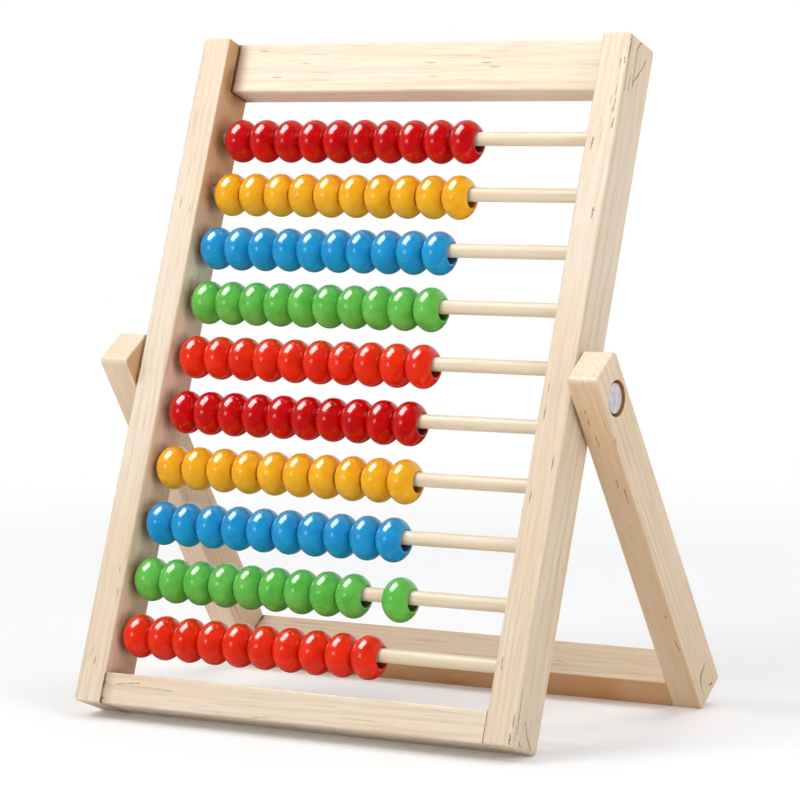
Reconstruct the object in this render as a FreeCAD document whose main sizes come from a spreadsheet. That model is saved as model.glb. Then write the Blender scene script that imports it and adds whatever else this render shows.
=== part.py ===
import FreeCAD, Part
import math
import os

import Sketcher
from FreeCAD import Vector

# A child's counting frame: ten rods of ten beads in a wooden frame that leans back on a
# U-shaped fold-out stand.
#
# Directions of the whole object: +X to the user's right, +Y away from the user, +Z up.
# Frame pieces are drawn upright in frame coordinates: X across, Y from the front face
# backwards, Z up along the stiles, with the origin at the middle of the frame's lower front
# edge. Stand pieces are drawn upright too, with the origin on the pivot axis. A Placement
# then leans each piece to its angle.

# Driving dimensions, in millimetres and degrees.
DIMENSIONS = [
    ("frame_height", 300, "length of the stiles"),
    ("frame_width", 212, "across the outer faces of the stiles"),
    ("bar_thickness", 13.5, "stiles and bottom rail, across their narrow side"),
    ("bar_depth", 22, "stiles and bottom rail, front to back"),
    ("top_rail_height", 22.5, "top rail, up and down"),
    ("top_rail_depth", 14, "top rail, front to back; its back is flush with the stiles"),
    ("edge_radius", 1, "eased long edges of every bar"),
    ("corner_radius", 2, "rounded outer corners at the ends of the stiles"),
    ("lean_angle", 21, "the frame leans back from upright by this much"),
    ("rod_radius", 3, "bead rods"),
    ("rod_count", 10, "rods, and so rows of beads"),
    ("rod_pitch", 24.85, "from rod to rod"),
    ("lowest_rod_height", 33.2, "lowest rod above the frame's lower end"),
    ("socket_depth", 7, "blind sockets for the rods in the stiles"),
    ("fit_gap", 0.02, "radial room round a glued peg, rod or pressed pin"),
    ("bead_radius", 9.5, "bead at its widest"),
    ("bead_length", 12.35, "bead along its rod"),
    ("crown_radius", 5.7, "a bead's section at its widest"),
    ("flank_radius", 8.5, "a bead's section from there to the rims"),
    ("bore_radius", 4.35, "hole through a bead"),
    ("rim_width", 0.4, "flat ring round the hole, where beads touch"),
    ("end_bead_gap", 0.3, "between a group and the bead at its right end"),
    ("running_gap", 0.05, "radial room where a bead hangs on its rod"),
    ("group_count", 9, "beads that move as one group"),
    ("loose_bead_gap", 9.7, "extra space beside the bead that stands apart in row nine"),
    ("row_01_start", 3.2, "from the left stile to the first bead, top row"),
    ("row_02_start", 3.2, "the same, second row"),
    ("row_03_start", 1.2, "the same, third row"),
    ("row_04_start", 2, "the same, fourth row"),
    ("row_05_start", 1.3, "the same, fifth row"),
    ("row_06_start", 1.7, "the same, sixth row"),
    ("row_07_start", 0.9, "the same, seventh row"),
    ("row_08_start", 1.2, "the same, eighth row"),
    ("row_09_start", 0.8, "the same, ninth row"),
    ("row_10_start", 0.6, "the same, lowest row"),
    ("row_01_gap", 0.24, "between the beads of one group, top row"),
    ("row_02_gap", 0.4, "the same, second row"),
    ("row_03_gap", 0.05, "the same, third row"),
    ("row_04_gap", 0.05, "the same, fourth row"),
    ("row_05_gap", 0.28, "the same, fifth row"),
    ("row_06_gap", 0.05, "the same, sixth row"),
    ("row_07_gap", 0.5, "the same, seventh row"),
    ("row_08_gap", 0.39, "the same, eighth row"),
    ("row_09_gap", 0.25, "the same, ninth row"),
    ("row_10_gap", 0.26, "the same, lowest row"),
    ("leg_thickness", 14, "legs and crossbar, across their narrow side"),
    ("leg_width", 20.5, "legs and crossbar, across their wide side"),
    ("pivot_rise", 1, "pivot above the middle between the two middle rods"),
    ("leg_above_pivot", 16.8, "from the pivot to a leg's upper end"),
    ("leg_top_radius", 2.5, "rounded front and back corners at a leg's upper end"),
    ("crossbar_clearance", 1, "between the swinging crossbar and the frame's lower corners"),
    ("washer_thickness", 1.2, "washer between a leg and its stile"),
    ("washer_radius", 6, "washer, outside"),
    ("thrust_gap", 0.05, "side play on each face of a leg at its pivot"),
    ("pin_radius", 2.5, "shank of the pivot pin"),
    ("pin_play", 0.08, "radial room of the pin in a leg"),
    ("pin_grip", 9, "length of the pin in its stile"),
    ("pin_head_radius", 6.4, "head of the pivot pin"),
    ("pin_head_thickness", 1.9, "head of the pivot pin"),
    ("pin_head_recess", 0.8, "from a leg's outer face in to the head"),
    ("pin_head_edge", 0.4, "rounded rim of the head"),
    ("counterbore_radius", 7.5, "recess for the head in a leg"),
    ("dowel_radius", 2.5, "hidden dowels of the corner joints"),
    ("dowel_length", 24, "hidden dowels"),
    ("dowel_in_upright", 8, "part of a dowel that is in a stile or leg"),
    ("dowel_end_gap", 0.5, "glue room past each end of a dowel or rod"),
    ("dowel_spread", 5, "from the middle of a joint to each of its two dowels"),
]

# Worked out from the driving dimensions.
LAYOUT = [
    ("lean_sin", "sin(Dims.lean_angle * 1 deg)"),
    ("lean_cos", "cos(Dims.lean_angle * 1 deg)"),
    ("stile_inside", "Dims.frame_width / 2 - Dims.bar_thickness"),
    ("socket_end", "stile_inside + Dims.socket_depth"),
    ("rod_depth", "Dims.bar_depth / 2"),
    # The pivot is between the two middle rods, clear of their sockets, and as deep as half
    # a leg, so that the folded stand is flush with the front of the frame.
    ("pivot_up", "Dims.lowest_rod_height + (Dims.rod_count / 2 - 0.5) * Dims.rod_pitch"
                 " + Dims.pivot_rise"),
    ("pivot_in", "Dims.leg_width / 2"),
    # The crossbar swings past the frame's lower back corners as the stand folds.
    ("crossbar_top", "sqrt(pivot_up ^ 2 + (Dims.bar_depth - pivot_in) ^ 2)"
                     " + Dims.crossbar_clearance"),
    ("leg_reach", "crossbar_top + Dims.leg_thickness"),
    ("leg_inside", "Dims.frame_width / 2 + Dims.washer_thickness + 2 * Dims.thrust_gap"),
    ("leg_outside", "leg_inside + Dims.leg_thickness"),
    ("pin_head_outside", "leg_outside - Dims.pin_head_recess"),
    ("pin_head_inside", "pin_head_outside - Dims.pin_head_thickness"),
    # The frame stands on its lower back edge and the stand on its lower front edge, both
    # eased, and both touch the ground at height 0.
    ("frame_up", "(Dims.bar_depth - Dims.edge_radius) * lean_sin"
                 " + Dims.edge_radius * (1 - lean_cos)"),
    ("pivot_height", "frame_up + pivot_up * lean_cos - pivot_in * lean_sin"),
    ("foot_run", "leg_reach - Dims.edge_radius"),
    ("foot_half", "Dims.leg_width / 2 - Dims.edge_radius"),
    ("leg_angle", "acos((pivot_height - Dims.edge_radius)"
                  " / sqrt(foot_run ^ 2 + foot_half ^ 2)) + atan(foot_half / foot_run)"),
    # The object's box is centred on the origin, front to back.
    ("frame_front", "Dims.edge_radius * (lean_cos + lean_sin - 1)"),
    ("stand_back", "pivot_in * lean_cos + pivot_up * lean_sin + foot_run * sin(leg_angle)"
                   " + foot_half * cos(leg_angle) + Dims.edge_radius"),
    ("frame_forward", "-(frame_front + stand_back) / 2"),
    # A bead hangs from its rod by the slack in its hole.
    ("bead_drop", "Dims.bore_radius - Dims.rod_radius - Dims.running_gap"),
    ("first_bead", "-stile_inside + Dims.bead_length / 2"),
    ("end_bead", "first_bead + Dims.group_count * Dims.bead_length + Dims.end_bead_gap"),
]

FRAME = ("create(<<placement>>; create(<<vector>>; 0; Layout.frame_forward; Layout.frame_up);"
         " create(<<rotation>>; create(<<vector>>; 1; 0; 0); -Dims.lean_angle))")
PIVOT = "create(<<vector>>; 0; Layout.pivot_in; Layout.pivot_up)"
STAND = (f"create(<<placement>>; {FRAME} * {PIVOT};"
         " create(<<rotation>>; create(<<vector>>; 1; 0; 0); Layout.leg_angle))")
SIDES = {"left": -1, "right": 1}
LOOSE_ROW = 9
TOLERANCE = 1e-6

doc = FreeCAD.newDocument("abacus")
pieces = []


# ---- sheets and expressions ---------------------------------------------------------------

def make_sheet(name, rows):
    """A sheet with a name in column A and its aliased value in column B."""
    sheet = doc.addObject("Spreadsheet::Sheet", name)
    for line, (alias, value, *meaning) in enumerate(rows, start=1):
        sheet.set(f"A{line}", alias)
        sheet.set(f"B{line}", str(value))
        sheet.setAlias(f"B{line}", alias)
        sheet.set(f"C{line}", " ".join(meaning))
    doc.recompute()
    return sheet


dims = make_sheet("Dims", DIMENSIONS)
layout = make_sheet("Layout", [(alias, "=" + formula) for alias, formula in LAYOUT])


def value(expression):
    """The present number behind an expression."""
    result = dims.evalExpression(expression)
    return float(getattr(result, "Value", result))


def bind(item, **expressions):
    for name, expression in expressions.items():
        item.setExpression(name, expression)


def place(item, coordinates, x="0", y="0", z="0", turn=None):
    """Puts a piece at x, y, z of the frame's or the stand's coordinates."""
    rotation = "create(<<rotation>>; create(<<vector>>; 0; 1; 0); %s)" % (turn or 0)
    local = f"create(<<placement>>; create(<<vector>>; {x}; {y}; {z}); {rotation})"
    item.setExpression("Placement", f"{coordinates} * {local}")


# ---- sketches and features ----------------------------------------------------------------

def origin_feature(body, role):
    return next(item for item in body.Origin.OriginFeatures if item.Role == role)


def new_body(label):
    body = doc.addObject("PartDesign::Body", label)
    body.Label = label
    pieces.append(body)
    return body


def new_sketch(body, role, name, offset="0"):
    sketch = body.newObject("Sketcher::SketchObject", name)
    sketch.AttachmentSupport = [(origin_feature(body, role), "")]
    sketch.MapMode = "FlatFace"
    sketch.setExpression("AttachmentOffset.Base.z", offset)
    doc.recompute()
    return sketch


def pin_down(sketch, geometry, point, x, y):
    """Ties a sketch point to two expressions for its coordinates."""
    for kind, axis, expression in (("DistanceX", -2, x), ("DistanceY", -1, y)):
        number = value(expression)
        if abs(number) < TOLERANCE:
            sketch.addConstraint(Sketcher.Constraint("PointOnObject", geometry, point, axis))
            continue
        index = sketch.addConstraint(Sketcher.Constraint(kind, geometry, point, number))
        sketch.setExpression(f"Constraints[{index}]", expression)


def draw_outline(sketch, points):
    """A closed outline of straight lines through points given as expressions."""
    corners = [Vector(value(x), value(y), 0) for x, y in points]
    ends = corners[1:] + corners[:1]
    lines = [sketch.addGeometry(Part.LineSegment(a, b), False) for a, b in zip(corners, ends)]
    for line, following in zip(lines, lines[1:] + lines[:1]):
        sketch.addConstraint(Sketcher.Constraint("Coincident", line, 2, following, 1))
    for line, (x, y) in zip(lines, points):
        pin_down(sketch, line, 1, x, y)


def draw_rectangle(sketch, left, right, low, high):
    draw_outline(sketch, [(left, low), (right, low), (right, high), (left, high)])


def draw_circle(sketch, x, y, radius):
    centre = Vector(value(x), value(y), 0)
    circle = sketch.addGeometry(Part.Circle(centre, Vector(0, 0, 1), value(radius)), False)
    pin_down(sketch, circle, 3, x, y)
    index = sketch.addConstraint(Sketcher.Constraint("Radius", circle, value(radius)))
    sketch.setExpression(f"Constraints[{index}]", radius)


def pad(body, sketch, length, both_ways=False, reverse=False):
    feature = body.newObject("PartDesign::Pad", "Pad")
    feature.Profile = sketch
    feature.Midplane = both_ways
    feature.Reversed = reverse
    bind(feature, Length=length)
    doc.recompute()
    return feature


def pocket(body, sketch, length, reverse):
    """Cuts a sketch into the body and makes sure that it did remove material."""
    before = body.Tip.Shape.Volume
    feature = body.newObject("PartDesign::Pocket", "Pocket")
    feature.Profile = sketch
    feature.Reversed = reverse
    bind(feature, Length=length)
    doc.recompute()
    assert feature.Shape.Volume < before - TOLERANCE, f"{body.Label}: a pocket cuts nothing"
    return feature


def mirror(body, feature, role):
    """Repeats a feature on the other side of one of the body's own planes."""
    result = body.newObject("PartDesign::Mirrored", "Mirrored")
    result.Originals = [feature]
    result.MirrorPlane = (origin_feature(body, role), [""])
    body.Tip = result
    doc.recompute()
    return result


def row_of(body, feature, role, length, count):
    """Repeats a feature along one of the body's own axes."""
    result = body.newObject("PartDesign::LinearPattern", "Row")
    result.Originals = [feature]
    result.Direction = (origin_feature(body, role), [""])
    bind(result, Length=length, Occurrences=count)
    body.Tip = result
    doc.recompute()
    return result


def fillet(body, radius, chosen):
    """Rounds the edges that pass a test."""
    base = body.Tip
    names = [f"Edge{number}" for number, edge in enumerate(base.Shape.Edges, start=1)
             if chosen(edge)]
    assert names, f"{body.Label}: no edge to round"
    feature = body.newObject("PartDesign::Fillet", "Fillet")
    feature.Base = (base, names)
    bind(feature, Radius=radius)
    doc.recompute()


def round_edges(body, radius, chosen):
    """Rounds the edges whose every vertex passes the test."""
    fillet(body, radius, lambda edge: all(chosen(vertex.Point) for vertex in edge.Vertexes))


def at(number, expression):
    return abs(number - value(expression)) < TOLERANCE


def runs_along_x(edge):
    return abs(edge.Vertexes[0].X - edge.Vertexes[-1].X) > TOLERANCE


# ---- frame --------------------------------------------------------------------------------

def make_stile(name, side):
    """An upright side of the frame, with rod sockets, dowel holes and the pin's hole."""
    body = new_body(f"{name}_stile")
    inner, outer = f"{side} * Layout.stile_inside", f"{side} * Dims.frame_width / 2"
    profile = new_sketch(body, "XZ_Plane", "StileProfile")
    draw_rectangle(profile, inner, outer, "0", "Dims.frame_height")
    pad(body, profile, "Dims.bar_depth", reverse=True)
    for end in ("0", "Dims.frame_height"):
        round_edges(body, "Dims.corner_radius", lambda p: at(p.x, outer) and at(p.z, end))
    round_edges(body, "Dims.edge_radius", lambda p: at(p.y, "0") or at(p.y, "Dims.bar_depth"))

    sockets = new_sketch(body, "YZ_Plane", "RodSocket", inner)
    draw_circle(sockets, "Layout.rod_depth", "Dims.lowest_rod_height",
                "Dims.rod_radius + Dims.fit_gap")
    socket = pocket(body, sockets, "Dims.socket_depth", reverse=side > 0)
    row_of(body, socket, "Z_Axis", "(Dims.rod_count - 1) * Dims.rod_pitch", "Dims.rod_count")

    holes = new_sketch(body, "YZ_Plane", "DowelHoles", inner)
    for depth, height in corner_dowels():
        draw_circle(holes, depth, height, "Dims.dowel_radius + Dims.fit_gap")
    pocket(body, holes, "Dims.dowel_in_upright + Dims.dowel_end_gap", reverse=side > 0)

    pivot = new_sketch(body, "YZ_Plane", "PivotHole", outer)
    draw_circle(pivot, "Layout.pivot_in", "Layout.pivot_up", "Dims.pin_radius + Dims.fit_gap")
    pocket(body, pivot, "Dims.pin_grip + Dims.dowel_end_gap", reverse=side < 0)
    place(body, FRAME)


def corner_dowels():
    """Depth and height of the four dowels in each stile: two a rail."""
    rail_middle = "Dims.bar_depth - Dims.top_rail_depth / 2"
    top_middle = "Dims.frame_height - Dims.top_rail_height / 2"
    bottom = [(f"Dims.bar_depth / 2 {sign} Dims.dowel_spread", "Dims.bar_thickness / 2")
              for sign in "-+"]
    top = [(rail_middle, f"{top_middle} {sign} Dims.dowel_spread") for sign in "-+"]
    return bottom + top


def make_rail(label, front, back, low, high, dowels):
    """A bar between the stiles, with eased long edges and dowel holes in both ends."""
    body = new_body(label)
    profile = new_sketch(body, "YZ_Plane", "RailProfile")
    draw_rectangle(profile, front, back, low, high)
    pad(body, profile, "2 * Layout.stile_inside", both_ways=True)
    ease_long_edges(body)
    holes = new_sketch(body, "YZ_Plane", "DowelHoles", "Layout.stile_inside")
    for depth, height in dowels:
        draw_circle(holes, depth, height, "Dims.dowel_radius + Dims.fit_gap")
    drilled = pocket(body, holes, "Dims.dowel_length - Dims.dowel_in_upright"
                                  " + Dims.dowel_end_gap", reverse=False)
    mirror(body, drilled, "YZ_Plane")
    place(body, FRAME)


def ease_long_edges(body):
    """Eases the edges of a bar that run along X."""
    fillet(body, "Dims.edge_radius", runs_along_x)


def make_dowels(label, coordinates, inside, places):
    """The hidden dowels of several joints, as one group of separate pegs."""
    pegs = []
    for side in SIDES.values():
        for depth, height in places:
            peg = doc.addObject("Part::Cylinder", "Peg")
            bind(peg, Radius="Dims.dowel_radius", Height="Dims.dowel_length")
            reach = f"({inside} + Dims.dowel_in_upright)"
            start = f"{side} * {reach} - {(1 + side) // 2} * Dims.dowel_length"
            peg.setExpression("Placement", f"create(<<placement>>; create(<<vector>>; {start};"
                              f" {depth}; {height}); create(<<rotation>>;"
                              " create(<<vector>>; 0; 1; 0); 90))")
            pegs.append(peg)
    group = doc.addObject("Part::Compound", label)
    group.Label = label
    group.Links = pegs
    place(group, coordinates)
    pieces.append(group)


def make_rod(row):
    """The rod of one row, counted from the top."""
    rod = doc.addObject("Part::Cylinder", f"rod_{row:02d}")
    rod.Label = f"rod_{row:02d}"
    bind(rod, Radius="Dims.rod_radius", Height="2 * (Layout.socket_end - Dims.dowel_end_gap)")
    place(rod, FRAME, x="-Layout.socket_end + Dims.dowel_end_gap", y="Layout.rod_depth",
          z=rod_height(row), turn=90)
    pieces.append(rod)


def rod_height(row):
    return f"(Dims.lowest_rod_height + (Dims.rod_count - {row}) * Dims.rod_pitch)"


# ---- beads --------------------------------------------------------------------------------

def draw_bead_profile(sketch):
    """Half the section of a bead: a crown between two flatter flanks, flat rims and the bore."""
    half, bore = value("Dims.bead_length / 2"), value("Dims.bore_radius")
    crown, flank = value("Dims.crown_radius"), value("Dims.flank_radius")
    rim = bore + value("Dims.rim_width")
    middle = Vector(0, value("Dims.bead_radius") - crown, 0)
    right_corner, left_corner = Vector(half, rim, 0), Vector(-half, rim, 0)

    # A flank's centre is one flank radius from its rim, and less than that from the crown's
    # centre by the crown's own radius.
    reach = right_corner - middle
    along = ((flank - crown) ** 2 - flank ** 2 + reach.Length ** 2) / (2 * reach.Length)
    across = math.sqrt((flank - crown) ** 2 - along ** 2)
    direction = Vector(reach).normalize()
    centre = middle + direction * along + Vector(direction.y, -direction.x, 0) * across
    opposite = Vector(-centre.x, centre.y, 0)
    meeting = math.atan2(middle.y - centre.y, middle.x - centre.x)
    start = math.atan2(right_corner.y - centre.y, right_corner.x - centre.x)

    def add_arc(point, radius, first, last):
        circle = Part.Circle(point, Vector(0, 0, 1), radius)
        return sketch.addGeometry(Part.ArcOfCircle(circle, first, last), False)

    right_flank = add_arc(centre, flank, start, meeting)
    top = add_arc(middle, crown, meeting, math.pi - meeting)
    left_flank = add_arc(opposite, flank, math.pi - meeting, math.pi - start)
    corners = [left_corner, Vector(-half, bore, 0), Vector(half, bore, 0), right_corner]
    left, hole, right = (sketch.addGeometry(Part.LineSegment(a, b), False)
                         for a, b in zip(corners, corners[1:]))
    for fixed in (("Tangent", right_flank, 2, top, 1), ("Tangent", top, 2, left_flank, 1),
                  ("Coincident", left_flank, 2, left, 1), ("Coincident", left, 2, hole, 1),
                  ("Coincident", hole, 2, right, 1), ("Coincident", right, 2, right_flank, 1),
                  ("Vertical", left), ("Horizontal", hole), ("Vertical", right),
                  ("PointOnObject", top, 3, -2)):
        sketch.addConstraint(Sketcher.Constraint(*fixed))
    for kind, *where, length, expression in (
            ("Radius", top, crown, "Dims.crown_radius"),
            ("Radius", right_flank, flank, "Dims.flank_radius"),
            ("Radius", left_flank, flank, "Dims.flank_radius"),
            ("DistanceY", -1, 1, top, 3, middle.y, "Dims.bead_radius - Dims.crown_radius"),
            ("DistanceY", -1, 1, hole, 1, bore, "Dims.bore_radius"),
            ("DistanceX", hole, 1, hole, 2, 2 * half, "Dims.bead_length"),
            ("DistanceX", hole, 1, -1, 1, half, "Dims.bead_length / 2"),
            ("DistanceY", right, 1, right, 2, rim - bore, "Dims.rim_width"),
            ("DistanceY", left, 2, left, 1, rim - bore, "Dims.rim_width")):
        index = sketch.addConstraint(Sketcher.Constraint(kind, *where, length))
        sketch.setExpression(f"Constraints[{index}]", expression)
    doc.recompute()


def make_beads(label, row, start, count=None):
    """One bead, or a group of them side by side, hanging on the rod of a row."""
    body = new_body(label)
    profile = new_sketch(body, "XZ_Plane", "BeadProfile")
    draw_bead_profile(profile)
    bead = body.newObject("PartDesign::Revolution", "Bead")
    bead.Profile = profile
    bead.ReferenceAxis = (profile, ["H_Axis"])
    bead.Angle = 360
    doc.recompute()
    if count:
        pitch = f"(Dims.bead_length + Dims.row_{row:02d}_gap)"
        row_of(body, bead, "X_Axis", f"({count} - 1) * {pitch}", count)
    place(body, FRAME, x=start,
          y="Layout.rod_depth + Layout.bead_drop * Layout.lean_sin",
          z=f"{rod_height(row)} - Layout.bead_drop * Layout.lean_cos")


# ---- stand --------------------------------------------------------------------------------

def make_leg(name, side):
    """A leg of the stand, with the pin's hole and the recess for its head."""
    body = new_body(f"{name}_leg")
    inner, outer = f"{side} * Layout.leg_inside", f"{side} * Layout.leg_outside"
    low, high = "-Layout.leg_reach", "Dims.leg_above_pivot"
    profile = new_sketch(body, "XZ_Plane", "LegProfile")
    draw_rectangle(profile, inner, outer, low, high)
    pad(body, profile, "Dims.leg_width", both_ways=True)
    fillet(body, "Dims.leg_top_radius",
           lambda edge: runs_along_x(edge) and at(edge.Vertexes[0].Z, high))
    fillet(body, "Dims.edge_radius", lambda edge: all(
        at(abs(vertex.Y), "Dims.leg_width / 2") and (not runs_along_x(edge) or at(vertex.Z, low))
        for vertex in edge.Vertexes))

    recess = new_sketch(body, "YZ_Plane", "HeadRecess", outer)
    draw_circle(recess, "0", "0", "Dims.counterbore_radius")
    depth = "Dims.pin_head_recess + Dims.pin_head_thickness + Dims.thrust_gap"
    pocket(body, recess, depth, reverse=side < 0)
    bore = new_sketch(body, "YZ_Plane", "PinBore", outer)
    draw_circle(bore, "0", "0", "Dims.pin_radius + Dims.pin_play")
    pocket(body, bore, "Dims.leg_thickness", reverse=side < 0)

    holes = new_sketch(body, "YZ_Plane", "DowelHoles", inner)
    for depth, height in crossbar_dowels():
        draw_circle(holes, depth, height, "Dims.dowel_radius + Dims.fit_gap")
    pocket(body, holes, "Dims.dowel_in_upright + Dims.dowel_end_gap", reverse=side > 0)
    place(body, STAND)


def crossbar_dowels():
    height = "-(Layout.crossbar_top + Dims.leg_thickness / 2)"
    return [(f"{sign}Dims.dowel_spread", height) for sign in ("-", "1 * ")]


def make_crossbar():
    """The bar between the legs' feet, flush with their ends and faces."""
    body = new_body("stand_crossbar")
    profile = new_sketch(body, "YZ_Plane", "CrossbarProfile")
    draw_rectangle(profile, "-Dims.leg_width / 2", "Dims.leg_width / 2",
                   "-Layout.leg_reach", "-Layout.crossbar_top")
    pad(body, profile, "2 * Layout.leg_inside", both_ways=True)
    ease_long_edges(body)
    holes = new_sketch(body, "YZ_Plane", "DowelHoles", "Layout.leg_inside")
    for depth, height in crossbar_dowels():
        draw_circle(holes, depth, height, "Dims.dowel_radius + Dims.fit_gap")
    drilled = pocket(body, holes, "Dims.dowel_length - Dims.dowel_in_upright"
                                  " + Dims.dowel_end_gap", reverse=False)
    mirror(body, drilled, "YZ_Plane")
    place(body, STAND)


def make_pivot_pin(name, side):
    """A smooth-headed steel pin, pressed into the stile, on which a leg turns."""
    body = new_body(f"{name}_pivot_pin")
    tail = f"{side} * (Dims.frame_width / 2 - Dims.pin_grip)"
    neck, face = f"{side} * Layout.pin_head_inside", f"{side} * Layout.pin_head_outside"
    profile = new_sketch(body, "XZ_Plane", "PinProfile")
    draw_outline(profile, [(tail, "0"), (face, "0"), (face, "Dims.pin_head_radius"),
                           (neck, "Dims.pin_head_radius"), (neck, "Dims.pin_radius"),
                           (tail, "Dims.pin_radius")])
    turned = body.newObject("PartDesign::Revolution", "Pin")
    turned.Profile = profile
    turned.ReferenceAxis = (profile, ["H_Axis"])
    turned.Angle = 360
    doc.recompute()
    round_edges(body, "Dims.pin_head_edge",
                lambda p: at(p.x, face) and at(math.hypot(p.y, p.z), "Dims.pin_head_radius"))
    place(body, FRAME, y="Layout.pivot_in", z="Layout.pivot_up")


def make_washer(name, side):
    """The washer that keeps a leg off its stile."""
    body = new_body(f"{name}_washer")
    start = "Dims.frame_width / 2" if side > 0 else \
        "-(Dims.frame_width / 2 + Dims.washer_thickness)"
    ring = new_sketch(body, "YZ_Plane", "WasherRing", start)
    draw_circle(ring, "0", "0", "Dims.washer_radius")
    draw_circle(ring, "0", "0", "Dims.pin_radius + Dims.pin_play")
    pad(body, ring, "Dims.washer_thickness")
    place(body, FRAME, y="Layout.pivot_in", z="Layout.pivot_up")


# ---- the whole object ---------------------------------------------------------------------

def build():
    for name, side in SIDES.items():
        make_stile(name, side)
    joints = corner_dowels()
    make_rail("bottom_rail", "0", "Dims.bar_depth", "0", "Dims.bar_thickness", joints[:2])
    make_rail("top_rail", "Dims.bar_depth - Dims.top_rail_depth", "Dims.bar_depth",
              "Dims.frame_height - Dims.top_rail_height", "Dims.frame_height", joints[2:])
    make_dowels("frame_dowels", FRAME, "Layout.stile_inside", joints)
    for row in range(1, round(value("Dims.rod_count")) + 1):
        make_rod(row)
        start = f"Dims.row_{row:02d}_start"
        make_beads(f"beads_row_{row:02d}", row, f"Layout.first_bead + {start}",
                   "Dims.group_count")
        gaps = f"(Dims.group_count - 1) * Dims.row_{row:02d}_gap"
        apart = " + Dims.loose_bead_gap" if row == LOOSE_ROW else ""
        make_beads(f"end_bead_row_{row:02d}", row, f"Layout.end_bead + {start} + {gaps}{apart}")
    for name, side in SIDES.items():
        make_leg(name, side)
        make_pivot_pin(name, side)
        make_washer(name, side)
    make_crossbar()
    make_dowels("stand_dowels", STAND, "Layout.leg_inside", crossbar_dowels())
    doc.recompute()


def check():
    """Stops if any object of the document failed or any piece is not a sound solid."""
    failed = [item.Label for item in doc.Objects if {"Invalid", "Error"} & set(item.State)]
    assert not failed, f"failed: {failed}"
    for piece in pieces:
        shape = piece.Shape
        assert not shape.isNull() and shape.isValid() and shape.Solids, piece.Label
    labels = [piece.Label for piece in pieces]
    assert len(set(labels)) == len(labels), "two pieces share a name"


def write():
    os.makedirs("parts", exist_ok=True)
    for piece in pieces:
        piece.Shape.exportStep(f"parts/{piece.Label}.step")
    box = Part.makeCompound([piece.Shape for piece in pieces]).BoundBox
    print(f"{len(pieces)} pieces, box {box.XLength:.2f} x {box.YLength:.2f} x {box.ZLength:.2f}")


build()
check()
write()
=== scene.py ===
import math
import random

import bpy
import numpy as np
from mathutils import Matrix, Vector


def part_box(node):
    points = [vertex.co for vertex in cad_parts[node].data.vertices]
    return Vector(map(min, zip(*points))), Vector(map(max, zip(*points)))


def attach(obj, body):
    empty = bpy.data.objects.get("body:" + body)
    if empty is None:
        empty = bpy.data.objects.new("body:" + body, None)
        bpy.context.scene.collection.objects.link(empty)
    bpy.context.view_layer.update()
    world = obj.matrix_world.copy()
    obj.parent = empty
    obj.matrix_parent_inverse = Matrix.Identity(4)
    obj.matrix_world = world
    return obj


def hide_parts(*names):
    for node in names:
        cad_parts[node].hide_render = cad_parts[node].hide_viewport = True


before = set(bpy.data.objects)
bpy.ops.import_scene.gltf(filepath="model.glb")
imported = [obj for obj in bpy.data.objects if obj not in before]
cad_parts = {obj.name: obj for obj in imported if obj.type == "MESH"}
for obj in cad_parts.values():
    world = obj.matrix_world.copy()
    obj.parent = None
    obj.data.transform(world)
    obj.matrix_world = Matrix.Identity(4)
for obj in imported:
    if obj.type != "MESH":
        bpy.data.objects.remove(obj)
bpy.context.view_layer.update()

# The looks of a child's counting frame: pale softwood bars, birch rods, lacquered beads and
# smooth steel pins. Lengths are in metres. +X is along the rods, +Y away from the user, +Z up.
MM = 0.001
LEAN = math.radians(21)           # the frame's, from upright
LEG_ANGLE = math.radians(33.284)  # the stand's, from upright
ROWS = range(1, 11)
GROUP_COUNT = 9                   # beads that slide as one
ROW_COLOURS = ("red", "yellow", "blue", "green", "orange")


# ---- shader nodes -------------------------------------------------------------------------

WHITE = (1, 1, 1, 1)


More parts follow.
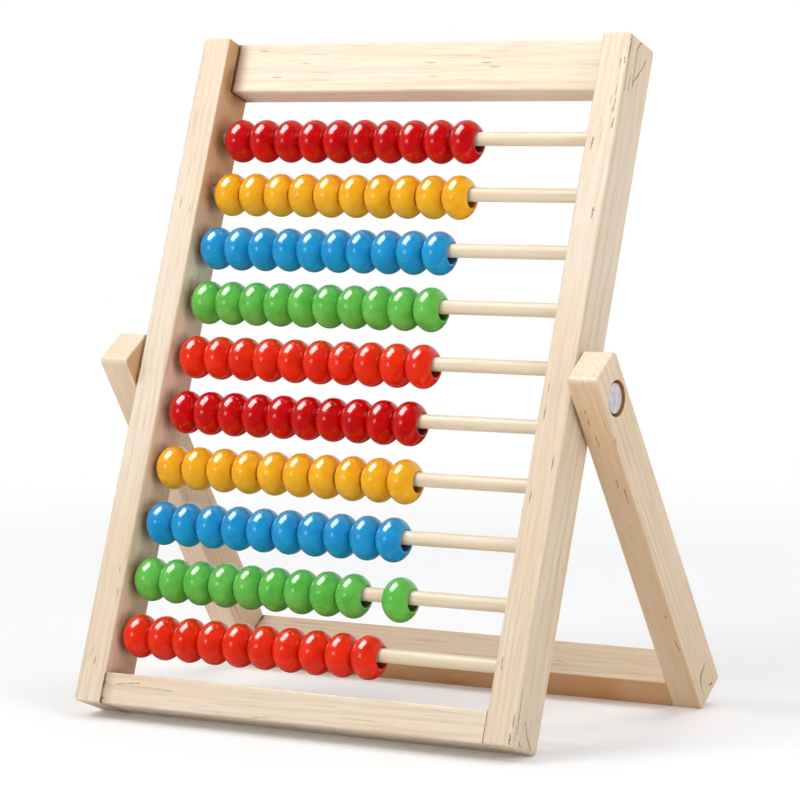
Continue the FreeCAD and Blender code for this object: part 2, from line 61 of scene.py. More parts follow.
class Shader:
    """A material's or world's node tree, with a method for each kind of node in use."""

    def __init__(self, owner, output="OutputMaterial"):
        self.owner = owner
        owner.use_nodes = True
        self.tree = owner.node_tree
        self.tree.nodes.clear()
        self.output = self.node(output)

    def node(self, kind, inputs=(), **settings):
        made = self.tree.nodes.new("ShaderNode" + kind)
        for name, setting in settings.items():
            setattr(made, name, setting)
        for name, content in dict(inputs).items():
            self.feed(made.inputs[name], content)
        return made

    def feed(self, socket, content):
        if isinstance(content, bpy.types.NodeSocket):
            self.tree.links.new(content, socket)
        else:
            socket.default_value = content

    def math(self, operation, a, b=0.0, clamp=False):
        made = self.node("Math", {0: a, 1: b}, operation=operation, use_clamp=clamp)
        return made.outputs[0]

    def vector(self, operation, a, b=(0, 0, 0)):
        made = self.node("VectorMath", {0: a, 1: b}, operation=operation)
        number = operation in ("LENGTH", "DISTANCE", "DOT_PRODUCT")
        return made.outputs["Value" if number else "Vector"]

    def split(self, vector):
        return self.node("SeparateXYZ", {"Vector": vector}).outputs

    def length(self, a, b):
        squares = self.math("ADD", self.math("POWER", a, 2.0), self.math("POWER", b, 2.0))
        return self.math("SQRT", squares)

    def waves(self, distance, spacing):
        return self.math("SINE", self.math("MULTIPLY", distance, 2 * math.pi / spacing))

    def place(self, kind="Object"):
        """Where a point is on its object, its normal there, or a direction in the world."""
        return self.node("TexCoord").outputs[kind]

    def from_axis(self, place, centre):
        """Distance from the line through the centre along X."""
        flat = self.vector("MULTIPLY", place, (0, 1, 1))
        return self.vector("DISTANCE", flat, (0, centre.y, centre.z))

    def stretch(self, vector, scale, shift=(0, 0, 0)):
        made = self.node("Mapping", {"Vector": vector, "Scale": scale, "Location": shift})
        return made.outputs["Vector"]

    def noise(self, vector, scale, detail=2.0, rough=0.5):
        made = self.node("TexNoise", {"Vector": vector, "Scale": scale, "Detail": detail,
                                      "Roughness": rough})
        return made.outputs["Fac"]

    def grain(self, along, across, lengthways, detail=2.0, rough=0.5, shift=(0, 0, 0)):
        """Noise drawn out along the grain, with its scales in features a metre."""
        drawn = self.stretch(along, (across, across, lengthways), shift)
        return self.noise(drawn, 1.0, detail, rough)

    def cells(self, vector, scale):
        """Distance to the nearest cell centre, and the cell's own random colour."""
        made = self.node("TexVoronoi", {"Vector": vector, "Scale": scale})
        return made.outputs["Distance"], made.outputs["Color"]

    def fade(self, value, low, high, to_low=0.0, to_high=1.0):
        made = self.node("MapRange", {"Value": value, "From Min": low, "From Max": high,
                                      "To Min": to_low, "To Max": to_high},
                         interpolation_type="SMOOTHSTEP")
        return made.outputs["Result"]

    def blend(self, factor, a, b, kind="MIX"):
        made = self.node("MixRGB", {"Fac": factor, "Color1": a, "Color2": b}, blend_type=kind)
        return made.outputs["Color"]

    def bump(self, height, distance, strength):
        inputs = {"Height": height, "Distance": distance, "Strength": strength}
        return self.node("Bump", inputs).outputs["Normal"]

    def background(self, strength, colour=WHITE):
        made = self.node("Background", {"Color": colour, "Strength": strength})
        return made.outputs[0]

    def emission(self, strength, colour=WHITE):
        made = self.node("Emission", {"Color": colour, "Strength": strength})
        return made.outputs[0]

    def mix(self, factor, a, b):
        return self.node("MixShader", {0: factor, 1: a, 2: b}).outputs[0]

    def finish(self, closure):
        self.tree.links.new(closure, self.output.inputs["Surface"])
        return self.owner

    def surface(self, **inputs):
        """Ends the tree with a Principled shader."""
        named = {name.replace("_", " "): content for name, content in inputs.items()}
        return self.finish(self.node("BsdfPrincipled", named).outputs[0])


def new_material(name):
    return Shader(bpy.data.materials.new(name))


def rgb(red, green, blue):
    """A colour given in 0-255 steps as a screen shows it, as linear light."""
    def linear(part):
        part /= 255
        return part / 12.92 if part <= 0.04045 else ((part + 0.055) / 1.055) ** 2.4
    return (linear(red), linear(green), linear(blue), 1.0)


# ---- wood ---------------------------------------------------------------------------------

PALE_WOOD = rgb(231, 214, 192)
PALEST_WOOD = rgb(239, 221, 196)
LATE_WOOD = rgb(212, 180, 140)
WARM_WOOD = rgb(224, 197, 163)
FLECK = rgb(128, 96, 66)
SCRATCH = rgb(106, 78, 54)
JOINT_LINE = rgb(88, 48, 18)
# painted shade for the pins' recesses
RECESS_SHADE_BROWN = rgb(186, 132, 80)
# painted shade: the browns put on faces of bars that are turned from the light
PAINTED_SHADE_WOOD = rgb(203, 156, 106)
DARK_PAINTED_SHADE_WOOD = rgb(197, 141, 86)
# painted shade: the brown put round the rods on the left stile, on the rods' ends there and
# beside the rail joints
PAINTED_SHADOW_BROWN = rgb(130, 78, 40)
BIRCH = rgb(231, 216, 190)
DARK_BIRCH = rgb(214, 189, 150)

RING_SPACING = 2.9 * MM
RING_SWAY = 14 * MM
FLECK_DENSITY = (520, 520, 60)  # cells a metre, across the grain twice and along it
FLECK_CHANCE = 0.43             # higher leaves fewer flecks
WOOD_RELIEF = 0.12 * MM
BIRCH_RELIEF = 0.06 * MM
WOOD_SHINE = 0.3
FACE_SHADE_EDGE = 15 * MM            # half the length over which the strong painted shade on a face fades
FACE_SHADE_BELOW = 0.15              # what is left of it lower down
SCRATCH_SHAKE = 0.9 * MM
BEAD_SHADE_OUT, BEAD_SHADE_IN = 11.5 * MM, 6.0 * MM
RECESS_RADIUS = 7.6 * MM
ROD_END_SHADE_LENGTH = 4 * MM           # of a rod's end at the left stile that is painted darker as shade
ROD_SEED, PEG_SEED = 20, 40


def bar_coordinates(shader, grain, turn, seed):
    """Coordinates whose Z runs along a bar's grain, shifted so that no two bars match."""
    place = shader.place()
    if grain == "X":
        turn, axis = math.radians(90), "Y_AXIS"
    else:
        axis = "X_AXIS"
    turned = shader.node("VectorRotate", {"Vector": place, "Angle": turn}, rotation_type=axis)
    draw = random.Random(seed)
    shift = tuple(draw.uniform(-1, 1) for _ in range(3))
    return shader.vector("ADD", turned.outputs["Vector"], shift), place


def wood(name, grain, seed, turn=0.0, flecks=1.0, extras=(), pale=PALE_WOOD):
    """Clear-lacquered pale softwood, with growth rings, fibres and short dark flecks.

    The extras are functions that darken part of the bar, one after another.
    """
    shader = new_material(name)
    along, place = bar_coordinates(shader, grain, turn, seed)

    # Growth rings about a pith far outside the bar, wandering slowly along the grain.
    slow = shader.stretch(along, (40, 40, 5))
    wander = shader.node("TexNoise", {"Vector": slow, "Scale": 1.0, "Detail": 2.0})
    swayed = shader.vector("ADD", along, shader.vector(
        "MULTIPLY", wander.outputs["Color"], (RING_SWAY, RING_SWAY, 0)))
    x, y, _ = shader.split(swayed)
    rings = shader.waves(shader.length(x, y), RING_SPACING)
    patchy = shader.grain(along, 90, 9, 3.0)
    late = shader.math("MULTIPLY", shader.fade(rings, -0.3, 1.0),
                       shader.fade(patchy, 0.3, 0.7))

    fibres = shader.grain(along, 1500, 45, 4.0, 0.6)
    bands = shader.grain(along, 420, 9, 4.0, 0.6)
    tone = shader.grain(along, 25, 8)

    colour = shader.blend(shader.fade(tone, 0.35, 0.7, 0.0, 0.6), pale, WARM_WOOD)
    colour = shader.blend(shader.math("MULTIPLY", late, 0.4), colour, LATE_WOOD)
    colour = shader.blend(shader.fade(bands, 0.48, 0.72, 0.0, 0.38), colour, LATE_WOOD)
    colour = shader.blend(shader.fade(fibres, 0.5, 0.78, 0.0, 0.36), colour, FLECK)

    # Short dark flecks along the grain, in clusters.
    near, tint = shader.cells(shader.stretch(along, FLECK_DENSITY), 1.0)
    chance = shader.grain(along, 30, 14, shift=(3, 1, 2))
    wanted = shader.math("GREATER_THAN", shader.math("MULTIPLY", shader.split(tint)[0], chance),
                         FLECK_CHANCE)
    mark = shader.math("MULTIPLY", shader.fade(near, 0.24, 0.08), wanted)
    colour = shader.blend(shader.math("MULTIPLY", mark, 0.6 * flecks), colour, FLECK)
    for extra in extras:
        colour = extra(shader, place, colour)

    height = shader.math("ADD", shader.math("MULTIPLY", fibres, 0.6),
                         shader.math("MULTIPLY", late, 0.25))
    height = shader.math("SUBTRACT", height, shader.math("MULTIPLY", mark, 0.5))
    return shader.surface(
        Base_Color=colour, Roughness=shader.fade(fibres, 0.3, 0.7, 0.42, 0.56),
        Specular_IOR_Level=WOOD_SHINE, Normal=shader.bump(height, WOOD_RELIEF, 0.5))


def joint_line(end, width, steady):
    """Darkens a rail where its left end meets the stile: a dark joint line, with painted shadow
    on the rail beside it.
    """
    def darken(shader, place, colour):
        x = shader.math("MULTIPLY", shader.split(place)[0], -1.0)
        broken = shader.noise(place, 260.0, 2.0)
        line = shader.math("MULTIPLY", shader.fade(x, end - width, end - 0.3 * width),
                           shader.fade(broken, 0.35, 0.6, steady, 1.0))
        # painted shadow on the rail beside the joint, fading away from it
        painted_shade = shader.fade(x, end - 4.5 * width, end, 0.0, 0.75 * steady)
        shaded_colour = shader.blend(painted_shade, colour, PAINTED_SHADOW_BROWN)
        return shader.blend(line, shaded_colour, JOINT_LINE)
    return darken


def painted_face_shade(direction, tint, amount, strong_above=None):
    """Painted shade: the side of a bar that faces the given direction is made browner, as shade
    darkens it.
    """
    def darken(shader, place, colour):
        facing = shader.vector("DOT_PRODUCT", shader.place("Normal"), direction)
        uneven = shader.grain(place, 30, 30)
        share = shader.math("MULTIPLY", shader.fade(facing, 0.6, 0.95),
                            shader.fade(uneven, 0.3, 0.7, 0.75 * amount, amount))
        if strong_above is not None:
            height = shader.split(place)[2]
            share = shader.math("MULTIPLY", share, shader.fade(
                height, strong_above - FACE_SHADE_EDGE, strong_above + FACE_SHADE_EDGE,
                FACE_SHADE_BELOW, 1.0))
        return shader.blend(share, colour, tint)
    return darken


def scratches(marks, strength):
    """Fine dark marks, each from one point on a face to another, in millimetres."""
    def darken(shader, place, colour):
        shaky = shader.node("TexNoise", {"Vector": place, "Scale": 900.0, "Detail": 1.0})
        wave = shader.vector("MULTIPLY", shader.vector(
            "SUBTRACT", shaky.outputs["Color"], (0.5, 0.5, 0.5)), (SCRATCH_SHAKE,) * 3)
        here = shader.vector("ADD", place, wave)
        total = None
        for first, last, width in marks:
            first, last = Vector(first) * MM, Vector(last) * MM
            run = last - first
            out = shader.vector("SUBTRACT", here, tuple(first))
            part = shader.math("DIVIDE", shader.vector("DOT_PRODUCT", out, tuple(run)),
                               run.length_squared, clamp=True)
            foot = shader.node("VectorMath", {0: tuple(run), "Scale": part}, operation="SCALE")
            away = shader.vector("DISTANCE", out, foot.outputs["Vector"])
            mark = shader.fade(away, width * MM, 0.35 * width * MM)
            total = mark if total is None else shader.math("MAXIMUM", total, mark)
        return shader.blend(shader.math("MULTIPLY", total, strength), colour, SCRATCH)
    return darken


def painted_bead_shade_rings(shader, place, colour):
    """Painted shade in rings round the rods on the left stile's inner face, next to the first
    beads.
    """
    low, high = middle("rod_10"), middle("rod_01")
    run = high - low
    pitch, up = run.length / (len(ROWS) - 1), run.normalized()
    across = Vector((0, -up.z, up.y))
    out = shader.vector("SUBTRACT", place, tuple(low))
    height = shader.math("ADD", shader.vector("DOT_PRODUCT", out, tuple(up)), pitch / 2)
    from_rod = shader.math("SUBTRACT", shader.math("FLOORED_MODULO", height, pitch), pitch / 2)
    side = shader.vector("DOT_PRODUCT", out, tuple(across))
    reach = shader.length(from_rod, side)
    blotch = shader.noise(place, 240.0, 3.0)
    inner = shader.fade(shader.split(shader.place("Normal"))[0], 0.6, 0.95)
    share = shader.math("MULTIPLY", shader.fade(reach, BEAD_SHADE_OUT, BEAD_SHADE_IN),
                        shader.fade(blotch, 0.3, 0.7, 0.35, 0.6))
    return shader.blend(shader.math("MULTIPLY", share, inner), colour, PAINTED_SHADOW_BROWN)


def painted_recess_shade(pin):
    """Painted shade darkening the drilled recess for a pin's head."""
    def darken(shader, place, colour):
        reach = shader.from_axis(place, middle(pin))
        return shader.blend(shader.math("LESS_THAN", reach, RECESS_RADIUS), colour, RECESS_SHADE_BROWN)
    return darken


def rod_wood(name, seed):
    """Plain birch dowel: paler and finer than the bars."""
    shader = new_material(name)
    along, place = bar_coordinates(shader, "X", 0.0, seed)
    fibres = shader.grain(along, 1700, 30, 4.0, 0.6)
    bands = shader.grain(along, 420, 9)
    colour = shader.blend(shader.fade(bands, 0.4, 0.75, 0.0, 0.6), BIRCH, DARK_BIRCH)
    colour = shader.blend(shader.fade(fibres, 0.5, 0.8, 0.0, 0.25), colour, FLECK)
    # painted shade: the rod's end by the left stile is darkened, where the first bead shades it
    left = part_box("left_stile")[1].x
    painted_shade = shader.fade(shader.split(place)[0], left + ROD_END_SHADE_LENGTH, left, 0.0, 0.8)
    colour = shader.blend(painted_shade, colour, PAINTED_SHADOW_BROWN)
    return shader.surface(
        Base_Color=colour, Roughness=shader.fade(fibres, 0.3, 0.7, 0.45, 0.6),
        Specular_IOR_Level=WOOD_SHINE, Normal=shader.bump(fibres, BIRCH_RELIEF, 0.5))


def clothe(name, material):
    """Gives a CAD node its material."""
    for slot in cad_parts[name].material_slots:
        slot.material = material


def middle(node):
    """The middle of a CAD node's box."""
    low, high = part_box(node)
    return (low + high) / 2


# Knots, resin streaks and scratches as (from, to, half-width), in millimetres.
LEFT_STILE_MARKS = (
    ((-95.3, -59.3, 60.4), (-95.5, -58.3, 62.9), 0.35),
    ((-101, -71.2, 29.3), (-101.6, -72.3, 26.3), 0.3),
    ((-99, -72.7, 25.4), (-99.1, -73.7, 22.8), 0.45),
    ((-94.6, -62.4, 51.8), (-95, -61.3, 54.4), 0.3),
)
RIGHT_STILE_MARKS = (
    ((106, 28.2, 286.2), (106, 25, 278), 0.42),
    ((106, 25, 278), (106, 20.6, 264), 0.34),
    ((106, 39, 283.3), (106, 35.5, 282.6), 0.45),
    ((106, 35.5, 282.6), (106, 32.6, 280.7), 0.5),
    ((106, 32.6, 280.7), (106, 31.2, 276.7), 0.42),
    ((106, 31.2, 276.7), (106, 27.5, 265.2), 0.46),
    ((106, 40, 275.5), (106, 38.3, 273.3), 0.5),
    ((106, 38.3, 273.3), (106, 28.4, 266.7), 0.42),
    ((106, 26.6, 271), (106, 23.6, 263.5), 0.3),
    ((102.8, 23.8, 276.7), (102.6, 22.5, 273.3), 0.36),
    ((104.4, 24, 277.3), (104.6, 23.1, 274.9), 0.32),
    ((103, 15.3, 254.6), (103.5, 17.4, 260), 0.34),
    ((103.8, 13, 248.6), (104.1, 14.5, 252.5), 0.36),
    ((95.8, 9.6, 239.7), (96.1, 11.5, 244.7), 0.42),
    ((101.6, -1, 212.2), (101.7, 0.5, 216.1), 0.46),
    ((106, -67.9, 15.6), (106, -66.5, 8.7), 0.4),
    ((106, -66.5, 8.7), (106, -63.6, 3), 0.5),
    ((106, -70, 28.8), (106, -74.8, 11.7), 0.36),
    ((106, -73.4, 8.4), (106, -71.7, 5.3), 0.4),
    ((106, -57.5, 14.5), (106, -57.4, 14), 0.5),
    ((95.2, -66.9, 40.6), (95.7, -68.7, 35.7), 0.36),
    ((104.6, -77.8, 12), (104.6, -79.2, 8.5), 0.5),
)
BOTTOM_RAIL_MARKS = (
    ((-85.7, -76.5, 15.6), (-79.9, -76.1, 16.4), 0.26),
    ((-79.9, -76.1, 16.4), (-74.3, -76, 16.7), 0.34),
    ((-66, -76.6, 15.3), (-57.1, -76.7, 15), 0.26),
    ((-16.2, -79.3, 8.2), (-7.8, -79.1, 8.8), 0.26),
    ((-92.4, -76.3, 16), (-91.3, -76.3, 16), 0.75),
    ((-92.4, -78.7, 9.6), (-91.2, -78.7, 9.6), 0.85),
)
RIGHT_LEG_MARKS = (
    ((121.3, 65.1, 19.4), (121.3, 62.9, 16.7), 0.5),
    ((121.3, 62.9, 16.7), (121.3, 60.8, 14.4), 0.9),
    ((121.3, 60.8, 14.4), (121.3, 61.0, 11.6), 1.0),
    ((121.3, 61.0, 11.6), (121.3, 62.0, 9.3), 0.6),
    ((121.3, 62.0, 9.3), (121.3, 63.6, 6.7), 0.35),
    ((121.3, 69.5, 9.2), (121.3, 72.0, 9.6), 0.8),
    ((111.6, -26.7, 135.4), (111.5, -26.1, 134.5), 0.4),
    ((111.9, -24.3, 131.8), (111.4, -22.6, 129.2), 0.32),
    ((112.7, -19.6, 124.6), (113, -16.6, 120.1), 0.36),
    ((115.5, -6.9, 105.3), (115.7, -5.1, 102.5), 0.36),
    ((118, -4.7, 102), (117.8, -0.5, 95.5), 0.4),
    ((115, 6.2, 85.3), (114.9, 6.9, 84.3), 0.34),
    ((118, 33.2, 44.1), (117.9, 34, 42.9), 0.36),
    ((118.7, 40.9, 32.4), (119.5, 43.9, 27.9), 0.42),
)


def dress_bars():
    """The frame's and stand's bars, the rods and the hidden dowels."""
    rail_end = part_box("top_rail")[1].x
    crossbar_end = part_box("stand_crossbar")[1].x
    inward = (1, 0, 0)
    down_front = (0, -math.cos(LEG_ANGLE), -math.sin(LEG_ANGLE))
    # The browner faces, the rings round the rods, the darker rail and rod ends and the pins'
    # recesses are painted shade.
    clothe("left_stile", wood("wood_left_stile", "Z", 1, LEAN, extras=(
        painted_face_shade(inward, PAINTED_SHADE_WOOD, 0.9, 200 * MM), painted_bead_shade_rings,
        scratches(LEFT_STILE_MARKS, 0.6))))
    clothe("right_stile", wood("wood_right_stile", "Z", 2, LEAN, 1.3, (
        scratches(RIGHT_STILE_MARKS, 0.85),)))
    clothe("top_rail", wood("wood_top_rail", "X", 3, pale=PALEST_WOOD, extras=(
        joint_line(rail_end, 1.9 * MM, 0.9),)))
    clothe("bottom_rail", wood("wood_bottom_rail", "X", 4, extras=(
        joint_line(rail_end, 1.6 * MM, 0.55), scratches(BOTTOM_RAIL_MARKS, 0.6))))
    clothe("left_leg", wood("wood_left_leg", "Z", 5, -LEG_ANGLE, pale=PALEST_WOOD, extras=(
        painted_face_shade(inward, PAINTED_SHADE_WOOD, 0.85, 120 * MM), painted_recess_shade("left_pivot_pin"))))
    clothe("right_leg", wood("wood_right_leg", "Z", 6, -LEG_ANGLE, pale=PALEST_WOOD, extras=(
        painted_face_shade(down_front, PAINTED_SHADE_WOOD, 0.5), painted_recess_shade("right_pivot_pin"),
        scratches(RIGHT_LEG_MARKS, 0.7))))
    clothe("stand_crossbar", wood("wood_crossbar", "X", 7, pale=PALEST_WOOD, extras=(
        painted_face_shade(down_front, DARK_PAINTED_SHADE_WOOD, 0.95),
        joint_line(crossbar_end, 1.8 * MM, 0.4))))
    for row in ROWS:
        clothe(f"rod_{row:02d}", rod_wood(f"wood_rod_{row:02d}", ROD_SEED + row))
    pegs = rod_wood("wood_pegs", PEG_SEED)
    clothe("frame_dowels", pegs)
    clothe("stand_dowels", pegs)


# ---- steel --------------------------------------------------------------------------------

STEEL = rgb(226, 221, 220)
DARK_STEEL = rgb(204, 200, 201)
TURNING_PITCH = 0.35 * MM
TURNING_RELIEF = 0.004 * MM


def steel(name, centre):
    """Satin-plated steel with faint turning marks round the pin's axis."""
    shader = new_material(name)
    place = shader.place()
    marks = shader.waves(shader.from_axis(place, centre), TURNING_PITCH)
    cloud = shader.noise(place, 350.0, 3.0)
    colour = shader.blend(shader.fade(cloud, 0.35, 0.7), STEEL, DARK_STEEL)
    return shader.surface(Base_Color=colour, Metallic=0.6,
                          Roughness=shader.fade(cloud, 0.3, 0.7, 0.24, 0.36),
                          Normal=shader.bump(marks, TURNING_RELIEF, 0.5))


def dress_steel():
    """The pivot pins and their washers."""
    for side in ("left", "right"):
        pin = f"{side}_pivot_pin"
        material = steel(f"steel_{side}", middle(pin))
        clothe(pin, material)
        clothe(f"{side}_washer", material)


# ---- beads --------------------------------------------------------------------------------

BORE = 4.35 * MM                  # radius of the hole
MOUTH = 0.65 * MM                 # rounding where the hole opens
CROWN, FLANK = 5.7 * MM, 8.5 * MM  # radii of the section, at its widest and towards its ends
CROWN_STEPS, FLANK_STEPS, MOUTH_STEPS = 8, 7, 6
AROUND = 72                       # steps round the bead
SMALLEST = 0.985                  # of the full size
MOST_TILT = 0.6                   # degrees
BORE_WALL = BORE + 0.15 * MM      # points up to this radius are on the hole's wall
DRAW_SEED = 11
# painted shade inside the beads' holes
BORE_SHADE_BROWN = rgb(70, 42, 24)
PEEL_RELIEF = 0.02 * MM
DRILL_RELIEF = 0.08 * MM
# Each lacquer where it is thin, and where it is deep.
LACQUERS = {
    "red": (rgb(208, 0, 2), rgb(162, 0, 1)),
    "yellow": (rgb(247, 182, 30), rgb(234, 152, 10)),
    "blue": (rgb(30, 156, 214), rgb(6, 124, 188)),
    "green": (rgb(108, 196, 82), rgb(66, 164, 50)),
    "orange": (rgb(240, 46, 6), rgb(208, 20, 1)),
}


def lacquer(colour_name):
    """Gloss lacquer over turned wood, whose grain shows through faintly."""
    light, deep = LACQUERS[colour_name]
    shader = new_material(f"lacquer_{colour_name}")
    own = shader.node("Attribute", attribute_name="turned").outputs["Vector"]
    grain = shader.noise(shader.stretch(own, (120, 900, 900)), 1.0, 4.0, 0.6)
    cloud = shader.noise(own, 150.0, 2.0)
    colour = shader.blend(shader.fade(cloud, 0.3, 0.75, 0.0, 0.6), light, deep)
    colour = shader.blend(shader.fade(grain, 0.5, 0.8, 0.0, 0.45), colour, deep)
    peel = shader.noise(own, 520.0, 2.0)
    ripple = shader.bump(peel, PEEL_RELIEF, 0.35)
    return shader.surface(
        Base_Color=colour, Roughness=shader.fade(grain, 0.3, 0.8, 0.22, 0.34),
        Specular_IOR_Level=0.1, Coat_Weight=1.0, Coat_Roughness=0.13, Coat_IOR=1.5,
        Normal=ripple, Coat_Normal=ripple)


def bore_with_painted_shade(colour_name):
    """The drilled hole of a bead: the deep lacquer that ran in, mixed with a dark brown that is
    painted shade in the hole.
    """
    deep = LACQUERS[colour_name][1]
    shader = new_material(f"bore_{colour_name}")
    own = shader.node("Attribute", attribute_name="turned").outputs["Vector"]
    drill = shader.noise(shader.stretch(own, (2600, 150, 150)), 1.0, 3.0)
    colour = shader.blend(shader.fade(drill, 0.35, 0.7, 0.25, 0.8), deep, BORE_SHADE_BROWN)
    return shader.surface(Base_Color=colour, Roughness=0.7,
                          Normal=shader.bump(drill, DRILL_RELIEF, 0.6))


def bead_profile(half, radius):
    """Half a bead's section from its middle to the middle of its bore, as (x, r) points."""
    top = Vector((0, radius - CROWN))
    mouth_middle = Vector((half - MOUTH, BORE + MOUTH))
    # The flank's circle touches the crown's circle and the mouth's circle from outside.
    reach = mouth_middle - top
    from_top, from_mouth = FLANK - CROWN, FLANK - MOUTH
    along = (from_top ** 2 - from_mouth ** 2 + reach.length ** 2) / (2 * reach.length)
    across = math.sqrt(from_top ** 2 - along ** 2)
    unit = reach.normalized()
    centre = top + unit * along + Vector((unit.y, -unit.x)) * across

    def arc(middle_point, size, first, last, steps, skip):
        angles = [first + (last - first) * i / steps for i in range(skip, steps + 1)]
        return [(middle_point.x + size * math.cos(a), middle_point.y + size * math.sin(a))
                for a in angles]

    meeting = math.atan2(top.y - centre.y, top.x - centre.x)
    leaving = math.atan2(mouth_middle.y - centre.y, mouth_middle.x - centre.x)
    points = arc(top, CROWN, math.pi / 2, meeting, CROWN_STEPS, 0)
    points += arc(centre, FLANK, meeting, leaving, FLANK_STEPS, 1)
    points += arc(mouth_middle, MOUTH, leaving, -math.pi / 2, MOUTH_STEPS, 1)
    points += [(x, BORE) for x in (0.5 * half, 0.0)]
    return points


def bead_shape(half, radius):
    """A bead's closed section as (x, r) points, from its top round through the bore."""
    right = bead_profile(half, radius)
    left = [(-x, r) for x, r in reversed(right[1:-1])]
    return right + left


def add_bead(parts, centre, half, radius, draw):
    """Adds one bead's points, faces and own coordinates to a row's mesh."""
    section = bead_shape(half * draw.uniform(SMALLEST, 1.0),
                         radius * draw.uniform(SMALLEST, 1.0))
    count = len(section)
    spin = draw.uniform(0, 2 * math.pi)
    tilt = Matrix.Rotation(math.radians(draw.uniform(-MOST_TILT, MOST_TILT)), 3, "Z")
    offset = Vector(tuple(draw.uniform(-1, 1) for _ in range(3)))
    first = len(parts["points"])
    for step in range(AROUND):
        angle = 2 * math.pi * step / AROUND
        for x, r in section:
            point = Vector((x, r * math.cos(angle), r * math.sin(angle)))
            own = Vector((x, r * math.cos(angle + spin), r * math.sin(angle + spin)))
            parts["points"].append(centre + tilt @ point)
            parts["own"].append(own + offset)
    for step in range(AROUND):
        here, there = first + step * count, first + (step + 1) % AROUND * count
        for k in range(count):
            k2 = (k + 1) % count
            parts["faces"].append((here + k, here + k2, there + k2, there + k))
            inside = max(section[k][1], section[k2][1]) < BORE_WALL
            parts["slots"].append(1 if inside else 0)


def bead_piece(name, node, body, centres, half, radius, materials, draw):
    """One piece of one or more beads, which stands for a CAD node."""
    parts = {"points": [], "own": [], "faces": [], "slots": []}
    for centre in centres:
        add_bead(parts, centre, half, radius, draw)
    mesh = bpy.data.meshes.new(name)
    mesh.from_pydata(parts["points"], [], parts["faces"])
    mesh.polygons.foreach_set("use_smooth", [True] * len(parts["faces"]))
    mesh.polygons.foreach_set("material_index", parts["slots"])
    own = mesh.attributes.new("turned", "FLOAT_VECTOR", "POINT")
    own.data.foreach_set("vector", np.array(parts["own"], dtype=float).ravel())
    for material in materials:
        mesh.materials.append(material)
    mesh.update()
    piece = bpy.data.objects.new(name, mesh)
    bpy.context.scene.collection.objects.link(piece)
    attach(piece, body)
    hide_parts(node)
    return piece


def make_beads():
    """Turned beads with an open hole, in place of the CAD ones: nine and one a row."""
    draw = random.Random(DRAW_SEED)
    finishes = {name: (lacquer(name), bore_with_painted_shade(name)) for name in LACQUERS}
    for row in ROWS:
        colour = ROW_COLOURS[(row - 1) % len(ROW_COLOURS)]
        node, end_node = f"beads_row_{row:02d}", f"end_bead_row_{row:02d}"
        low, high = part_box(end_node)
        half, radius = (high.x - low.x) / 2, (high.z - low.z) / 2
        group_low, group_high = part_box(node)
        pitch = (group_high.x - group_low.x - 2 * half) / (GROUP_COUNT - 1)
        height, depth = (low.z + high.z) / 2, (low.y + high.y) / 2
        centres = [Vector((group_low.x + half + k * pitch, depth, height))
                   for k in range(GROUP_COUNT)]
        group = bead_piece(f"row_{row:02d}_nine_beads", node, f"row_{row:02d}_group", centres,
                           half, radius, finishes[colour], draw)
        end = bead_piece(f"row_{row:02d}_tenth_bead", end_node, f"row_{row:02d}_end",
                         [(low + high) / 2], half, radius, finishes[colour], draw)


# ---- floor, light and camera --------------------------------------------------------------

FILL = 0.44                       # of white, the even light from all round
FILL_COLOUR = (0.97, 0.98, 1.0, 1)
FLOOR_REACH = 30.0
FLOOR_COLOUR = (0.9, 0.9, 0.91, 1)
FLOOR_GLOW, FLOOR_GLOW_COLOUR = 0.07, (1, 0.99, 0.98, 1)
FLOOR_PALE, FLOOR_WHITE = 0.3, 0.85  # distances between which the floor turns white
# What gloss mirrors, as parts of white.
BACKDROP, LEFT_WALL, ROOM = 0.8, 0.2, 0.02
AIM = (0, 0, 0.14)                # what every light points at
LENS, SENSOR = 150.68, 36         # millimetres
CAMERA_PLACE = (0.72853, -1.21745, 0.27084)
YAW, PITCH, ROLL = (math.radians(a) for a in (30.564, 5.551, -0.51))


def make_floor():
    """A plain pale floor that fades to white away from the object."""
    mesh = bpy.data.meshes.new("floor")
    size = FLOOR_REACH
    mesh.from_pydata([(-size, -size, 0), (size, -size, 0), (size, size, 0), (-size, size, 0)],
                     [], [(0, 1, 2, 3)])
    floor = bpy.data.objects.new("floor", mesh)
    bpy.context.scene.collection.objects.link(floor)
    shader = new_material("floor")
    far = shader.fade(shader.vector("LENGTH", shader.place()), FLOOR_PALE, FLOOR_WHITE)
    diffuse = shader.node("BsdfDiffuse", {"Color": FLOOR_COLOUR}).outputs[0]
    glow = shader.emission(FLOOR_GLOW, FLOOR_GLOW_COLOUR)
    near = shader.node("AddShader", {0: diffuse, 1: glow}).outputs[0]
    mesh.materials.append(shader.finish(shader.mix(far, near, shader.emission(1.0))))
    floor.visible_glossy = False


def add_light(name, place, size, power, roll=0.0, lights=True, mirrored=True):
    """An area light in watts, which may light surfaces, show in gloss, or both."""
    data = bpy.data.lights.new(name, "AREA")
    data.shape = "RECTANGLE"
    data.size, data.size_y = size
    data.energy = power
    light = bpy.data.objects.new(name, data)
    light.location = place
    towards = Vector(AIM) - light.location
    light.rotation_euler = towards.to_track_quat("-Z", "Y").to_euler()
    light.rotation_euler.rotate_axis("Z", math.radians(roll))
    light.visible_diffuse = lights
    light.visible_glossy = mirrored
    bpy.context.scene.collection.objects.link(light)


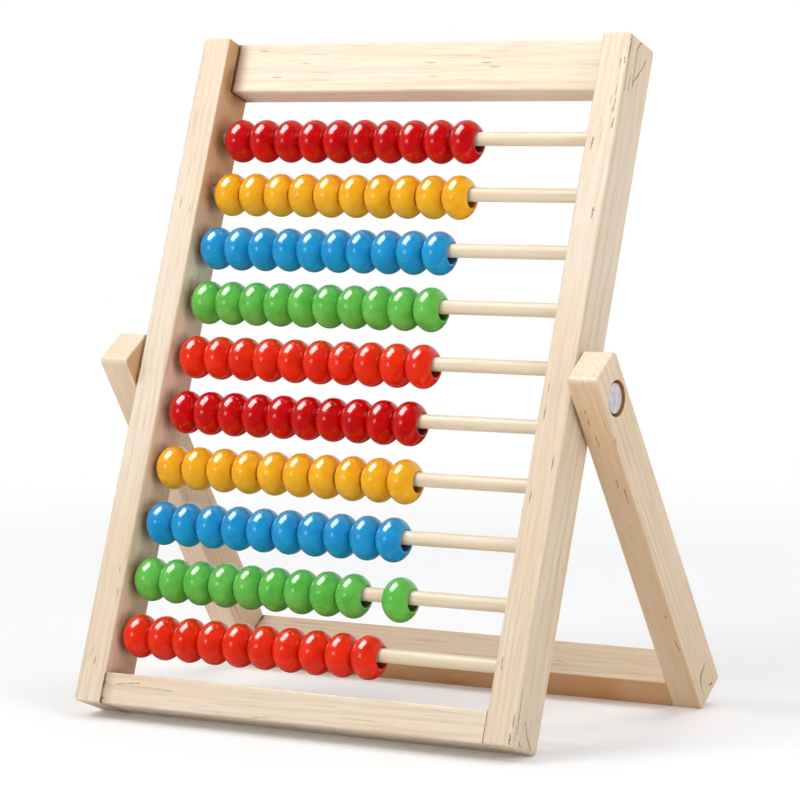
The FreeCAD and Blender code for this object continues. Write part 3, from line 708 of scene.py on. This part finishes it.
def make_world():
    """White behind the object, an even soft fill, and a fainter room for gloss to mirror."""
    world = bpy.data.worlds.new("studio")
    bpy.context.scene.world = world
    shader = Shader(world, "OutputWorld")
    ray = shader.node("LightPath").outputs

    # Gloss mirrors a bright wall to the left, the white backdrop behind the object down to
    # a little below the horizon, and a dim room elsewhere.
    x, y, z = shader.split(shader.place("Generated"))
    backdrop = shader.math("MULTIPLY", shader.fade(y, 0.2, 0.8, 0.0, BACKDROP),
                           shader.fade(z, -0.35, -0.12))
    walls = shader.math("ADD", shader.fade(x, 0.0, -0.95, 0.0, LEFT_WALL), backdrop)
    room = shader.background(shader.math("ADD", walls, ROOM))

    lit = shader.mix(ray["Is Glossy Ray"], shader.background(FILL, FILL_COLOUR), room)
    shader.finish(shader.mix(ray["Is Camera Ray"], lit, shader.background(1.0)))


def make_lights():
    """Soft studio light, with the softbox there only for the beads' highlights."""
    add_light("key", (-0.62, -0.72, 1.05), (0.75, 0.36), 6.4, roll=40, mirrored=False)
    add_light("softbox", (-0.39, -0.42, 1.31), (1.05, 0.85), 42.0, roll=100, lights=False)
    add_light("front_left", (-0.33, -1.5, 0.4), (0.6, 0.4), 3.0)
    add_light("overhead", (0.1, 0.45, 1.5), (1.0, 0.8), 7.6, mirrored=False)
    add_light("right", (1.25, -0.35, 0.85), (0.8, 0.8), 5.0, mirrored=False)


def make_camera():
    """The photograph's viewing angle."""
    data = bpy.data.cameras.new("camera")
    data.lens = LENS
    data.sensor_width = SENSOR
    camera = bpy.data.objects.new("camera", data)
    camera.matrix_world = (Matrix.Translation(CAMERA_PLACE)
                           @ Matrix.Rotation(YAW, 4, "Z")
                           @ Matrix.Rotation(math.pi / 2 - PITCH, 4, "X")
                           @ Matrix.Rotation(ROLL, 4, "Z"))
    bpy.context.scene.collection.objects.link(camera)
    bpy.context.scene.camera = camera


bpy.context.scene.view_settings.view_transform = "Standard"
dress_bars()
dress_steel()
make_beads()
make_floor()
make_world()
make_lights()
make_camera()
